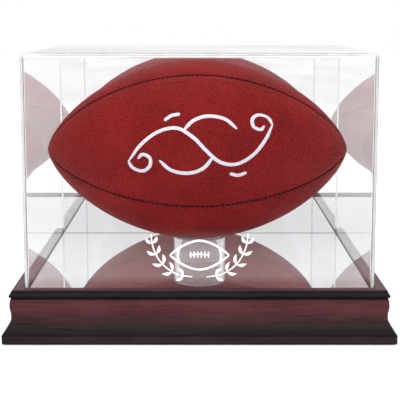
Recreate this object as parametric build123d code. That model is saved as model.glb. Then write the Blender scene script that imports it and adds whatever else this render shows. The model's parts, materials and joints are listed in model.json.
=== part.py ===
"""Football display case: a mitred wooden base with a mirror floor, a ring stand,
a laced leather football and a one-piece clear acrylic cover that lifts off, with a
mirror panel fixed inside its back wall.

Millimetres. X runs along the football, -Y is the front, +Z is up, and the origin is
at the middle of the footprint, on the plane that the felt pads rest on.
"""

import math
import os

from build123d import *

# ---------------------------------------------------------------- driving dimensions
COVER_LENGTH = 298.0  # outside, along X
COVER_WIDTH = 240.0  # outside, along Y
COVER_TOP = 243.5  # outside top above the resting plane
COVER_WALL = 3.0
COVER_EDGE_RADIUS = 4.0  # outside of every moulded edge
COVER_INSIDE_RADIUS = 1.2

PAD_THICKNESS = 1.0
PAD_RADIUS = 8.0
PAD_OVERHANG = 4.5  # pad centre, outward of the cover's faces

RIM_TOP = 45.5  # top of the wooden moulding
LEDGE_TOP = 30.0  # shoulder in the moulding that carries the board
BOARD_TOP = 39.5  # floor of the channel that the cover stands in
CHANNEL_GAP = 0.6  # between the cover's outside and the moulding's rim
BOARD_GAP = 0.1  # between the board's edge and the moulding
COVER_SEAT_GAP = 0.1  # between the cover's foot and the board

TAPE_THICKNESS = 0.5
FILM_THICKNESS = 0.2
MIRROR_TOP = 43.0
MIRROR_INSET = 3.8  # mirror's edge, inward of the cover's outside
TAPE_WIDTH = 19.0
TAPE_LENGTH = 250.0
TAPE_SPACING = 85.0
TAPE_COUNT = 3

BACK_MIRROR_THICKNESS = 2.0
BACK_MIRROR_FOOT = 43.3  # just clear of the mirror floor when the cover is on
BACK_MIRROR_MARGIN = 0.8  # short of the cover's inside, at the sides and the top
BACK_TAPE_WIDTH = 12.0
BACK_TAPE_LENGTH = 180.0
BACK_TAPE_SPACING = 120.0
BACK_TAPE_COUNT = 3

BLOCK_LEG = 28.0  # corner glue block, along each wall
BLOCK_HEIGHT = 18.0
BLOCK_SCREW_INSET = 9.0  # screw axis from both walls
SCREW_RADIUS = 1.9
SCREW_HEAD_RADIUS = 3.8
SCREW_HEAD_HEIGHT = 2.4
SCREW_BITE = 7.0  # how far each screw runs into the board
SCREW_CLEARANCE = 0.05
SLOT_WIDTH = 0.9
SLOT_DEPTH = 1.0

RING_OUTER_RADIUS = 24.6
RING_WALL = 4.0
RING_HEIGHT = 22.0
RING_EDGE = 0.6  # polished bevel

BALL_HALF_LENGTH = 142.0
BALL_RADIUS = 84.5
BALL_SHIFT = -2.0  # the ball sits a little left of the middle
BALL_SEAT_GAP = 0.3  # between the ball and the ring, so the ball can turn
PROFILE_WAIST = 1.9  # exponents of the ball's outline, see ball_radius
PROFILE_POINT = 0.68
PROFILE_POINTS = 25
LEATHER_THICKNESS = 2.0
LINING_THICKNESS = 1.0
BLADDER_GAP = 0.3
BLADDER_THICKNESS = 0.8
TIP_STRETCH = 1.2  # layers are this much thicker at the tips
FIRST_SEAM = -30.0  # degrees up from the front; the other seams follow every 90
LACE_SEAM = 150.0
VALVE_ANGLE = 195.0
VALVE_RADIUS = 3.2
VALVE_RECESS = 0.4
VALVE_SEAT_GAP = 0.05

LACE_BARS = 8
LACE_SPACING = 12.0
LACE_BAR_WIDTH = 4.2
LACE_THICKNESS = 1.3
LACE_HALF_ANGLE = 9.0
LACE_FOOT_ANGLE = 1.6
LACE_STRAND_HALF_ANGLE = 1.4
LACE_STRAND_HALF_LENGTH = 50.0
LACE_LIFT = 0.1  # clear of the leather, and of the run beneath

# The moulding's outer outline, from its top edge down: (outward of the cover's face,
# above the resting plane). Every curve is an arc: ends, and a point on the way.
RIM_EDGE = (8.0, RIM_TOP)
RIM_ROUND = [RIM_EDGE, (9.2, 44.9), (9.7, 43.5)]
COVE = [RIM_ROUND[2], (10.1, 42.4), (10.9, 41.9)]
BEAD = [COVE[2], (11.3, 40.4), (9.4, 38.7)]
NOTCH = (9.4, 38.1)
SWELL = [(10.3, 37.7), (10.85, 33.5), (10.25, 27.5)]
BODY_FOOT = (10.7, 17.4)
SWEEP_END = (16.6, 8.8)
PLINTH_OUT = 17.0
PLINTH_TOP = 8.6
MOULDING_INSIDE = -8.0  # inner face of the moulding under the board

# ---------------------------------------------------------------- derived dimensions
HALF_X = COVER_LENGTH / 2
HALF_Y = COVER_WIDTH / 2
WOOD_FOOT = PAD_THICKNESS
FILM_BOTTOM = BOARD_TOP + TAPE_THICKNESS
SHEET_BOTTOM = FILM_BOTTOM + FILM_THICKNESS
RING_TOP = MIRROR_TOP + RING_HEIGHT
RING_INNER_RADIUS = RING_OUTER_RADIUS - RING_WALL
BLOCK_BOTTOM = LEDGE_TOP - BLOCK_HEIGHT


def ball_radius(x, layer=0.0):
    """Radius of the ball's surface at x from its middle, layer mm under the leather."""
    half = BALL_HALF_LENGTH - TIP_STRETCH * layer
    share = min(abs(x) / half, 1.0)
    return (BALL_RADIUS - layer) * (1 - share**PROFILE_WAIST) ** PROFILE_POINT


# The ball drops into the ring until it meets the inner bevel, on the ball's long axis
# and on the side it is shifted to.
BALL_SEAT_X = RING_INNER_RADIUS + RING_EDGE - abs(BALL_SHIFT)
BALL_SINK = BALL_RADIUS - ball_radius(BALL_SEAT_X)
BALL_CENTRE = RING_TOP - BALL_SINK + BALL_SEAT_GAP + BALL_RADIUS
BALL_AXIS = Axis((0, 0, BALL_CENTRE), (1, 0, 0))


def save(name, solids):
    """One STEP file for a node; a list of solids becomes one compound."""
    solids = solids if isinstance(solids, list) else [solids]
    shape = solids[0] if len(solids) == 1 else Compound(children=solids)
    shape.label = name
    export_step(shape, f"parts/{name}.step")


def slab(x_size, y_size, bottom, top):
    """A plain upright block, centred on the origin in plan."""
    return Pos(0, 0, (bottom + top) / 2) * Box(x_size, y_size, top - bottom)


# ---------------------------------------------------------------- wooden base
def moulding_section():
    """The moulding's cross-section, with x outward and y up."""
    rim_inside = CHANNEL_GAP
    rim = [ThreePointArc(*RIM_ROUND), ThreePointArc(*COVE), ThreePointArc(*BEAD)]
    notch = Polyline(BEAD[2], NOTCH, SWELL[0])
    swell = ThreePointArc(*SWELL)
    waist = TangentArc(SWELL[2], BODY_FOOT, tangent=swell % 1)
    sweep = TangentArc(BODY_FOOT, SWEEP_END, tangent=waist % 1)
    rest = Polyline(
        SWEEP_END,
        (PLINTH_OUT, PLINTH_TOP),
        (PLINTH_OUT, WOOD_FOOT),
        (MOULDING_INSIDE, WOOD_FOOT),
        (MOULDING_INSIDE, LEDGE_TOP),
        (rim_inside, LEDGE_TOP),
        (rim_inside, RIM_TOP),
        RIM_EDGE,
    )
    return make_face([*rim, notch, swell, waist, sweep, rest])


def moulding_length(half_along, half_across, turn):
    """One side of the frame, mitred at both ends. turn is 0 for the front."""
    reach = 40.0
    section = Plane((0, -half_across, 0), x_dir=(0, -1, 0), z_dir=(-1, 0, 0))
    face = section * moulding_section()
    bar = extrude(face, half_along + reach, both=True)
    corner = Polyline(
        (-half_along - reach, -half_across - reach),
        (half_along + reach, -half_across - reach),
        (half_along - reach, -half_across + reach),
        (-half_along + reach, -half_across + reach),
        close=True,
    )
    wedge = extrude(make_face(corner), RIM_TOP + 1)
    return Rot(0, 0, turn) * (bar & wedge)


def base_board():
    """The panel that closes the frame and carries the mirror and the cover."""
    edge = 2 * (CHANNEL_GAP - BOARD_GAP)
    board = slab(COVER_LENGTH + edge, COVER_WIDTH + edge, LEDGE_TOP, BOARD_TOP)
    hole = Cylinder(SCREW_RADIUS + SCREW_CLEARANCE, SCREW_BITE)
    for x, y in screw_places():
        board -= Pos(x, y, LEDGE_TOP + SCREW_BITE / 2) * hole
    return board


def block_corners():
    """The frame's four inside corners, with the signs that point outward."""
    x = HALF_X + MOULDING_INSIDE
    y = HALF_Y + MOULDING_INSIDE
    return [(x * sx, y * sy, sx, sy) for sx in (-1, 1) for sy in (-1, 1)]


def screw_places():
    inset = BLOCK_SCREW_INSET
    return [(x - inset * sx, y - inset * sy) for x, y, sx, sy in block_corners()]


def corner_blocks():
    """Four triangular glue blocks under the board, drilled for their screws."""
    blocks = []
    for (x, y, sx, sy), (px, py) in zip(block_corners(), screw_places()):
        corner = Polyline((x, y), (x - BLOCK_LEG * sx, y), (x, y - BLOCK_LEG * sy), close=True)
        block = Pos(0, 0, BLOCK_BOTTOM) * extrude(make_face(corner), BLOCK_HEIGHT)
        shank = Cylinder(SCREW_RADIUS + SCREW_CLEARANCE, 2 * BLOCK_HEIGHT)
        sink = Cone(
            SCREW_HEAD_RADIUS + SCREW_CLEARANCE, SCREW_RADIUS + SCREW_CLEARANCE, SCREW_HEAD_HEIGHT
        )
        block -= Pos(px, py, BLOCK_BOTTOM + BLOCK_HEIGHT) * shank
        block -= Pos(px, py, BLOCK_BOTTOM + SCREW_HEAD_HEIGHT / 2) * sink
        blocks.append(block)
    return blocks


def block_screws():
    """Countersunk slotted screws, up through the blocks into the board."""
    screws = []
    tip = 2.0
    shank_length = BLOCK_HEIGHT - SCREW_HEAD_HEIGHT + SCREW_BITE - tip - 0.5
    for px, py in screw_places():
        z = BLOCK_BOTTOM
        head = Pos(px, py, z + SCREW_HEAD_HEIGHT / 2) * Cone(
            SCREW_HEAD_RADIUS, SCREW_RADIUS, SCREW_HEAD_HEIGHT
        )
        z += SCREW_HEAD_HEIGHT
        shank = Pos(px, py, z + shank_length / 2) * Cylinder(SCREW_RADIUS, shank_length)
        z += shank_length
        point = Pos(px, py, z + tip / 2) * Cone(SCREW_RADIUS, 0.3, tip)
        slot = Pos(px, py, BLOCK_BOTTOM) * Box(3 * SCREW_HEAD_RADIUS, SLOT_WIDTH, 2 * SLOT_DEPTH)
        screws.append(head + shank + point - slot)
    return screws


def felt_pads():
    x = HALF_X + PAD_OVERHANG
    y = HALF_Y + PAD_OVERHANG
    disc = Cylinder(PAD_RADIUS, PAD_THICKNESS)
    return [Pos(x * sx, y * sy, PAD_THICKNESS / 2) * disc for sx in (-1, 1) for sy in (-1, 1)]


# ---------------------------------------------------------------- mirror floor
def mirror_layer(bottom, top):
    inset = 2 * MIRROR_INSET
    return slab(COVER_LENGTH - inset, COVER_WIDTH - inset, bottom, top)


def tape_strips():
    strip = slab(TAPE_LENGTH, TAPE_WIDTH, BOARD_TOP, FILM_BOTTOM)
    first = -TAPE_SPACING * (TAPE_COUNT - 1) / 2
    return [Pos(0, first + TAPE_SPACING * n, 0) * strip for n in range(TAPE_COUNT)]


# ---------------------------------------------------------------- stand and cover
def ring_stand():
    ring = Cylinder(RING_OUTER_RADIUS, RING_HEIGHT) - Cylinder(RING_INNER_RADIUS, RING_HEIGHT)
    rims = ring.edges().filter_by(GeomType.CIRCLE).filter_by_position(
        Axis.Z, RING_HEIGHT / 2, RING_HEIGHT / 2
    )
    ring = chamfer(rims, RING_EDGE)
    return Pos(0, 0, MIRROR_TOP + RING_HEIGHT / 2) * ring


def rounded_box(length, width, bottom, top, radius):
    """An upright box, open foot down, with its top and upright edges rounded."""
    box = slab(length, width, bottom, top)
    upright = box.edges().filter_by(Axis.Z)
    crown = box.faces().sort_by(Axis.Z)[-1].edges()
    return fillet(upright + crown, radius)


def clear_cover():
    foot = BOARD_TOP + COVER_SEAT_GAP
    outside = rounded_box(COVER_LENGTH, COVER_WIDTH, foot, COVER_TOP, COVER_EDGE_RADIUS)
    wall = 2 * COVER_WALL
    inside = rounded_box(
        COVER_LENGTH - wall,
        COVER_WIDTH - wall,
        foot - 1,
        COVER_TOP - COVER_WALL,
        COVER_INSIDE_RADIUS,
    )
    return outside - inside


def back_panel(length, foot, top, depth, thickness):
    """A flat panel standing against the cover's back wall, depth mm in front of it."""
    back = HALF_Y - COVER_WALL - depth
    place = Pos(0, back - thickness / 2, (foot + top) / 2)
    return place * Box(length, thickness, top - foot)


def back_mirror():
    length = COVER_LENGTH - 2 * (COVER_WALL + BACK_MIRROR_MARGIN)
    top = COVER_TOP - COVER_WALL - BACK_MIRROR_MARGIN
    return back_panel(length, BACK_MIRROR_FOOT, top, TAPE_THICKNESS, BACK_MIRROR_THICKNESS)


def back_mirror_tapes():
    """Upright strips of double-sided tape between the mirror and the back wall."""
    middle = (BACK_MIRROR_FOOT + COVER_TOP) / 2
    foot, top = middle - BACK_TAPE_LENGTH / 2, middle + BACK_TAPE_LENGTH / 2
    strip = back_panel(BACK_TAPE_WIDTH, foot, top, 0, TAPE_THICKNESS)
    first = -BACK_TAPE_SPACING * (BACK_TAPE_COUNT - 1) / 2
    return [Pos(first + BACK_TAPE_SPACING * n, 0, 0) * strip for n in range(BACK_TAPE_COUNT)]


# ---------------------------------------------------------------- football
def ball_outline(layer):
    """Points of the ball's outline at a depth, from the right tip to the left one."""
    half = BALL_HALF_LENGTH - TIP_STRETCH * layer
    angles = [math.pi * n / (PROFILE_POINTS - 1) for n in range(PROFILE_POINTS)]
    xs = [half * math.cos(a) for a in angles]
    radii = [ball_radius(x, layer) for x in xs]
    radii[0] = radii[-1] = 0.0
    return list(zip(xs, radii))


def ball_curve(layer):
    return Spline(ball_outline(layer))


def angle_frame(degrees):
    """Turns the XZ half-plane that faces the front to an angle up from the front."""
    return Pos(BALL_SHIFT, 0, BALL_CENTRE) * Rot(-degrees, 0, 0)


def turned(face, start, end):
    """A face in the front half-plane, swept round the ball's axis between angles."""
    sweep = revolve(face, Axis((0, 0, 0), (-1, 0, 0)), end - start)
    return angle_frame(start) * sweep


def front_face(outline):
    """A face in the half-plane from the ball's axis towards the front."""
    plane = Plane((0, 0, 0), x_dir=(1, 0, 0), z_dir=(0, 0, -1))
    return plane * make_face(outline)


def shell_section(outer, inner):
    """The half-section between two depths under the leather's surface."""
    reach = BALL_HALF_LENGTH
    right = Line((reach - TIP_STRETCH * inner, 0), (reach - TIP_STRETCH * outer, 0))
    left = Line((-reach + TIP_STRETCH * outer, 0), (-reach + TIP_STRETCH * inner, 0))
    return front_face([ball_curve(outer), left, ball_curve(inner), right])


def valve_hole(radius):
    """A round bar through the ball's skin where the valve sits."""
    length = 14.0
    bar = Pos(0, -BALL_RADIUS, 0) * Rot(90, 0, 0) * Cylinder(radius, length)
    return angle_frame(VALVE_ANGLE) * bar


def ball_quarter(outer, inner, start):
    quarter = turned(shell_section(outer, inner), start, start + 90)
    if start < VALVE_ANGLE < start + 90:
        quarter -= valve_hole(VALVE_RADIUS)
    return quarter


def seam_angles():
    return [FIRST_SEAM + 90 * n for n in range(4)]


def bladder():
    outer = LEATHER_THICKNESS + LINING_THICKNESS + BLADDER_GAP
    body = turned(shell_section(outer, outer + BLADDER_THICKNESS), 0, 180)
    return body + turned(shell_section(outer, outer + BLADDER_THICKNESS), 180, 360)


def valve():
    """A rubber plug through leather and lining, seated on the bladder."""
    skin = LEATHER_THICKNESS + LINING_THICKNESS + BLADDER_GAP
    length = skin - VALVE_SEAT_GAP - VALVE_RECESS
    centre = -BALL_RADIUS + VALVE_RECESS + length / 2
    plug = Cylinder(VALVE_RADIUS, length) - Cylinder(0.7, length)
    return angle_frame(VALVE_ANGLE) * Pos(0, centre, 0) * Rot(90, 0, 0) * plug


def lace_band(x_low, x_high, low, high):
    """A patch standing low to high above the leather, between two places in x."""
    steps = 5
    xs = [x_low + (x_high - x_low) * n / (steps - 1) for n in range(steps)]
    bottom = [(x, ball_radius(x) + low) for x in xs]
    top = [(x, ball_radius(x) + high) for x in reversed(xs)]
    sides = [Line(bottom[-1], top[0]), Line(top[-1], bottom[0])]
    return front_face([Spline(bottom), sides[0], Spline(top), sides[1]])


def lace_strand():
    """The lengthwise run of the lace, under the bars, on the back seam."""
    reach = LACE_STRAND_HALF_LENGTH
    band = lace_band(-reach, reach, LACE_LIFT, LACE_LIFT + LACE_THICKNESS)
    half = LACE_STRAND_HALF_ANGLE
    return turned(band, LACE_SEAM - half, LACE_SEAM + half)


def lace_bars():
    """The crosswise runs of the lace, each with a foot into its two holes."""
    bars = []
    bridge = LACE_LIFT + LACE_THICKNESS + LACE_LIFT
    top = bridge + LACE_THICKNESS
    for n in range(LACE_BARS):
        x = LACE_SPACING * (n - (LACE_BARS - 1) / 2)
        ends = (x - LACE_BAR_WIDTH / 2, x + LACE_BAR_WIDTH / 2)
        low, high = LACE_SEAM - LACE_HALF_ANGLE, LACE_SEAM + LACE_HALF_ANGLE
        bar = turned(lace_band(*ends, bridge, top), low, high)
        foot = lace_band(*ends, LACE_LIFT, top)
        bar += turned(foot, low - LACE_FOOT_ANGLE, low)
        bar += turned(foot, high, high + LACE_FOOT_ANGLE)
        bars.append(bar)
    return bars


# ---------------------------------------------------------------- all the pieces
def main():
    os.makedirs("parts", exist_ok=True)
    save("base_moulding_front", moulding_length(HALF_X, HALF_Y, 0))
    save("base_moulding_right", moulding_length(HALF_Y, HALF_X, 90))
    save("base_moulding_back", moulding_length(HALF_X, HALF_Y, 180))
    save("base_moulding_left", moulding_length(HALF_Y, HALF_X, 270))
    save("base_board", base_board())
    save("corner_blocks", corner_blocks())
    save("corner_block_screws", block_screws())
    save("felt_pads", felt_pads())
    save("mirror_tape_strips", tape_strips())
    save("mirror_film", mirror_layer(FILM_BOTTOM, SHEET_BOTTOM))
    save("mirror_sheet", mirror_layer(SHEET_BOTTOM, MIRROR_TOP))
    save("ring_stand", ring_stand())
    save("clear_cover", clear_cover())
    save("back_mirror_sheet", back_mirror())
    save("back_mirror_tapes", back_mirror_tapes())
    names = ["front", "top", "back", "bottom"]
    lining = LEATHER_THICKNESS + LINING_THICKNESS
    for name, start in zip(names, seam_angles()):
        save(f"ball_panel_{name}", ball_quarter(0, LEATHER_THICKNESS, start))
        save(f"ball_lining_{name}", ball_quarter(LEATHER_THICKNESS, lining, start))
    save("ball_bladder", bladder())
    save("ball_valve", valve())
    save("ball_lace_strand", lace_strand())
    save("ball_lace_bars", lace_bars())
    print("ball centre", round(BALL_CENTRE, 3), "ring top", RING_TOP)


main()
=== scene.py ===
import json
import math

import bmesh
import bpy
import numpy as np
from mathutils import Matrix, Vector

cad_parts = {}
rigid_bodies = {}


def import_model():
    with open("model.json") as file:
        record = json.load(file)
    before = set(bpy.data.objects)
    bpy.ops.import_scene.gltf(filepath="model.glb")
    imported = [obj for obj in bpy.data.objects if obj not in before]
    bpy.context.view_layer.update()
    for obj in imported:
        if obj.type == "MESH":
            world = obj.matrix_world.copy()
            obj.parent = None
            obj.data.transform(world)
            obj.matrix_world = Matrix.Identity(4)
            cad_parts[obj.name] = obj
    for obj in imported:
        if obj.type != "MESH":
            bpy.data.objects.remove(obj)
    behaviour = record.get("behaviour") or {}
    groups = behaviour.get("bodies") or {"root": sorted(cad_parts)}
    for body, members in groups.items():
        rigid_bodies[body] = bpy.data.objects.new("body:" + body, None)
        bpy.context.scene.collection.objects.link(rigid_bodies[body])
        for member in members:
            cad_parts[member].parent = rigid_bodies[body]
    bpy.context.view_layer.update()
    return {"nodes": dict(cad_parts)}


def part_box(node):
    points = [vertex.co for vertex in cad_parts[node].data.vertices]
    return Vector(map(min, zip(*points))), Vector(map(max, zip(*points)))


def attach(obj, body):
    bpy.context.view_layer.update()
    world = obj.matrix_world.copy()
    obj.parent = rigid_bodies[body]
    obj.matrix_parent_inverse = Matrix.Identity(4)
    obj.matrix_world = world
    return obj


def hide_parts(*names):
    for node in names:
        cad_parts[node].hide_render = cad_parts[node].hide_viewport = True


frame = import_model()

scene = bpy.context.scene
MM = 0.001

# ---------------------------------------------------------------- places, from the frame
cover_low, cover_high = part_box("clear_cover")
ring_low, ring_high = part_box("ring_stand")
mirror_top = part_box("mirror_sheet")[1].z
back_mirror_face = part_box("back_mirror_sheet")[0].y
wood_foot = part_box("base_moulding_front")[0].z
rim_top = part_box("base_moulding_front")[1].z
PANELS = ("front", "top", "back", "bottom")
panel_boxes = [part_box(f"ball_panel_{name}") for name in PANELS]
ball_low = Vector(map(min, *[low for low, high in panel_boxes]))
ball_high = Vector(map(max, *[high for low, high in panel_boxes]))
ball_centre = (ball_low + ball_high) / 2
BALL_HALF = (ball_high.x - ball_low.x) / 2
BALL_RADIUS = (ball_high.z - ball_low.z) / 2

# ---------------------------------------------------------------- shader building


class Shader:
    """A material with a Principled shader, and short ways to add nodes to it."""

    def __init__(self, name, **settings):
        self.material = bpy.data.materials.new(name)
        self.material.use_nodes = True
        self.nodes = self.material.node_tree.nodes
        self.links = self.material.node_tree.links
        self.surface = self.nodes["Principled BSDF"]
        self.output = self.nodes["Material Output"]
        for key, value in settings.items():
            self.surface.inputs[key.replace("_", " ")].default_value = value

    def add(self, kind, settings=None, **inputs):
        node = self.nodes.new("ShaderNode" + kind)
        for key, value in (settings or {}).items():
            setattr(node, key, value)
        for key, value in inputs.items():
            self.put(node, key.replace("_", " "), value)
        return node

    def put(self, node, key, value):
        socket = node.inputs[int(key[1:])] if key[0] == "i" and key[1:].isdigit() else node.inputs[key]
        if isinstance(value, bpy.types.NodeSocket):
            self.links.new(value, socket)
        else:
            socket.default_value = value

    def place(self, scale=(1, 1, 1)):
        """Object coordinates, stretched."""
        coordinates = self.add("TexCoord").outputs["Object"]
        mapping = self.add("Mapping", Vector=coordinates)
        mapping.inputs["Scale"].default_value = scale
        return mapping.outputs[0]

    def noise(self, scale, vector=None, detail=4.0, roughness=0.55, distortion=0.0):
        node = self.add("TexNoise", Scale=scale, Detail=detail, Roughness=roughness, Distortion=distortion)
        self.links.new(vector or self.place(), node.inputs["Vector"])
        return node.outputs["Fac"]

    def ramp(self, factor, stops, smooth=False):
        """stops: (position, colour or value)."""
        node = self.add("ValToRGB", Fac=factor)
        ramp = node.color_ramp
        ramp.interpolation = "EASE" if smooth else "LINEAR"
        while len(ramp.elements) < len(stops):
            ramp.elements.new(0.5)
        for element, (position, value) in zip(ramp.elements, stops):
            element.position = position
            colour = value if isinstance(value, tuple) else (value, value, value)
            element.color = (*colour, 1.0)
        return node.outputs["Color"]

    def mix(self, factor, a, b, blend="MIX"):
        node = self.add("Mix", {"data_type": "RGBA", "blend_type": blend})
        for index, value in ((0, factor), (6, a), (7, b)):
            if isinstance(value, bpy.types.NodeSocket):
                self.links.new(value, node.inputs[index])
            elif index == 0:
                node.inputs[index].default_value = value
            else:
                colour = value if isinstance(value, tuple) else (value, value, value)
                node.inputs[index].default_value = (*colour, 1.0)
        return node.outputs[2]

    def maths(self, operation, a, b=0.0):
        return self.add("Math", {"operation": operation}, i0=a, i1=b).outputs[0]

    def span(self, value, low, high, to_low=0.0, to_high=1.0):
        node = self.add("MapRange", Value=value)
        for key, number in (("From Min", low), ("From Max", high), ("To Min", to_low), ("To Max", to_high)):
            node.inputs[key].default_value = number
        return node.outputs[0]

    def bump(self, height, distance, strength=1.0, under=None):
        node = self.add("Bump", Height=height, Distance=distance, Strength=strength)
        if under is not None:
            self.links.new(under, node.inputs["Normal"])
        return node.outputs[0]

    def finish(self, **sockets):
        for key, value in sockets.items():
            self.links.new(value, self.surface.inputs[key.replace("_", " ")])
        return self.material


def tone(red, green, blue):
    """An sRGB colour, 0 to 255, as linear light."""

    def linear(value):
        value /= 255
        return value / 12.92 if value <= 0.04045 else ((value + 0.055) / 1.055) ** 2.4

    return linear(red), linear(green), linear(blue)


def shaded(colour, share):
    return tuple(share * c for c in colour)


# ---------------------------------------------------------------- materials
PEBBLES = 960.0  # leather pebbles, in cells to the metre


def stained_wood(name, across):
    """Lacquered mahogany with ebonised bands at its bead, foot and plinth.
    across is 0 where the grain runs along X and 1 where it runs along Y."""
    s = Shader(name, IOR=1.45)
    s.surface.inputs["Specular IOR Level"].default_value = 0.12
    stretch = (22, 480, 480) if across == 0 else (480, 22, 480)
    fine = (40, 1500, 1500) if across == 0 else (1500, 40, 1500)
    coordinates = s.add("TexCoord").outputs["Object"]
    height = s.add("SeparateXYZ", Vector=coordinates).outputs["Z"]
    band = s.span(height, wood_foot, rim_top)
    black = tone(30, 27, 29)
    plum = tone(68, 43, 46)
    brown = tone(86, 47, 49)
    colour = s.ramp(
        band,
        [
            (0.0, tone(40, 24, 26)),
            (0.03, tone(52, 38, 42)),
            (0.14, tone(48, 38, 42)),
            (0.165, tone(20, 18, 20)),
            (0.24, black),
            (0.34, tone(50, 34, 37)),
            (0.46, plum),
            (0.62, brown),
            (0.80, tone(84, 45, 47)),
            (0.83, black),
            (0.985, black),
            (1.0, tone(72, 44, 50)),
        ],
    )
    figure = s.noise(1.0, s.place(stretch), 5.0, 0.6, 0.6)
    streaks = s.ramp(figure, [(0.3, 0.6), (0.48, 0.97), (0.68, 1.08)], True)
    colour = s.mix(1.0, colour, streaks, "MULTIPLY")
    cloud = s.ramp(s.noise(24.0, None, 2.0), [(0.35, 0.88), (0.65, 1.1)])
    colour = s.mix(0.8, colour, cloud, "MULTIPLY")
    pores = s.noise(1.0, s.place(fine), 2.0, 0.5)
    colour = s.mix(0.5, colour, s.ramp(pores, [(0.36, 0.45), (0.46, 1.0)]), "MULTIPLY")
    rough = s.span(figure, 0.3, 0.7, 0.44, 0.34)
    normal = s.bump(pores, 0.02 * MM, 0.4, s.bump(figure, 0.05 * MM, 0.5))
    return s.finish(Base_Color=colour, Roughness=rough, Normal=normal)


def raw_wood(name, light, dark, stretch, rough=0.75):
    """Bare softwood or fibreboard."""
    s = Shader(name)
    rings = s.noise(1.0, s.place(stretch), 6.0, 0.65, 1.2)
    colour = s.ramp(rings, [(0.3, dark), (0.5, light), (0.7, shaded(light, 0.85))])
    fibres = s.noise(1800.0, None, 2.0)
    colour = s.mix(0.25, colour, s.ramp(fibres, [(0.4, 0.6), (0.6, 1.1)]), "MULTIPLY")
    s.surface.inputs["Roughness"].default_value = rough
    return s.finish(Base_Color=colour, Normal=s.bump(fibres, 0.08 * MM, 0.6))


def clear_acrylic(name, tint, white_share, box=None):
    """Polished clear acrylic. Lamps reach what is inside it. It mixes in some white diffuse
    all over, or at a box's rounded edges, where the white is a painted highlight."""
    s = Shader(name, Base_Color=(*tint, 1.0), Transmission_Weight=1.0, IOR=1.49)
    smudge = s.noise(35.0, None, 3.0)
    rough = s.span(smudge, 0.45, 0.75, 0.0, 0.02)
    s.finish(Roughness=rough)
    # White diffuse share: a little all over, or at a box's rounded edges a painted highlight.
    white_mix_and_edge_highlight = s.span(s.noise(40.0, None, 2.0), 0.35, 0.65, 0.85 * white_share, white_share)
    if box:
        place = s.add("SeparateXYZ", Vector=s.add("TexCoord").outputs["Object"])
        near = []
        for axis, reach in zip("XYZ", box):
            distance = s.maths("ABSOLUTE", place.outputs[axis])
            near.append(s.span(distance, reach - 4.2 * MM, reach - 0.8 * MM))
        pairs = [s.maths("MULTIPLY", near[a], near[b]) for a, b in ((0, 1), (1, 2), (0, 2))]
        edge = s.maths("MAXIMUM", s.maths("MAXIMUM", pairs[0], pairs[1]), pairs[2])
        white_mix_and_edge_highlight = s.maths("MULTIPLY", edge, white_mix_and_edge_highlight)
    white = s.add("BsdfDiffuse", Color=(0.93, 0.93, 0.94, 1.0))
    edged = s.add("MixShader")
    s.links.new(white_mix_and_edge_highlight, edged.inputs[0])
    s.links.new(s.surface.outputs[0], edged.inputs[1])
    s.links.new(white.outputs[0], edged.inputs[2])
    surface = edged.outputs[0]
    path = s.add("LightPath")
    passing = s.maths("MAXIMUM", path.outputs["Is Shadow Ray"], path.outputs["Is Diffuse Ray"])
    clear = s.add("BsdfTransparent")
    clear.inputs["Color"].default_value = (0.96, 0.965, 0.97, 1.0)
    both = s.add("MixShader")
    s.links.new(passing, both.inputs[0])
    s.links.new(surface, both.inputs[1])
    s.links.new(clear.outputs[0], both.inputs[2])
    s.links.new(both.outputs[0], s.output.inputs["Surface"])
    return s.material


def mirror_glass(name):
    """Silvered sheet, faintly hazy."""
    s = Shader(name, Base_Color=(0.9, 0.9, 0.915, 1.0), Metallic=0.94)
    haze = s.noise(60.0, None, 4.0)
    return s.finish(Roughness=s.span(haze, 0.4, 0.8, 0.004, 0.03))


def painted_back(name, face):
    """Silvered sheet at its face, a height in Y, and grey backing paint behind that."""
    # Metallic 0.9 leaves a tenth of white diffuse on the silvered face: painted haze, standing in for light
    # reflected across the case's inside.
    s = Shader(name, Base_Color=(0.93, 0.93, 0.94, 1.0), Metallic=0.9)
    haze = s.noise(60.0, None, 4.0)
    s.finish(Roughness=s.span(haze, 0.4, 0.8, 0.002, 0.02))
    grain = s.noise(1100.0, None, 4.0)
    shade = s.ramp(grain, [(0.35, tone(104, 106, 112)), (0.65, tone(124, 126, 132))])
    coat = s.add("BsdfPrincipled", Base_Color=shade, Roughness=s.span(grain, 0.3, 0.7, 0.5, 0.7))
    s.links.new(s.bump(grain, 0.03 * MM, 0.5), coat.inputs["Normal"])
    depth = s.add("SeparateXYZ", Vector=s.add("TexCoord").outputs["Object"]).outputs["Y"]
    both = s.add("MixShader")
    s.links.new(s.maths("GREATER_THAN", depth, face + 0.3 * MM), both.inputs[0])
    s.links.new(s.surface.outputs[0], both.inputs[1])
    s.links.new(coat.outputs[0], both.inputs[2])
    s.links.new(both.outputs[0], s.output.inputs["Surface"])
    return s.material


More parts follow.
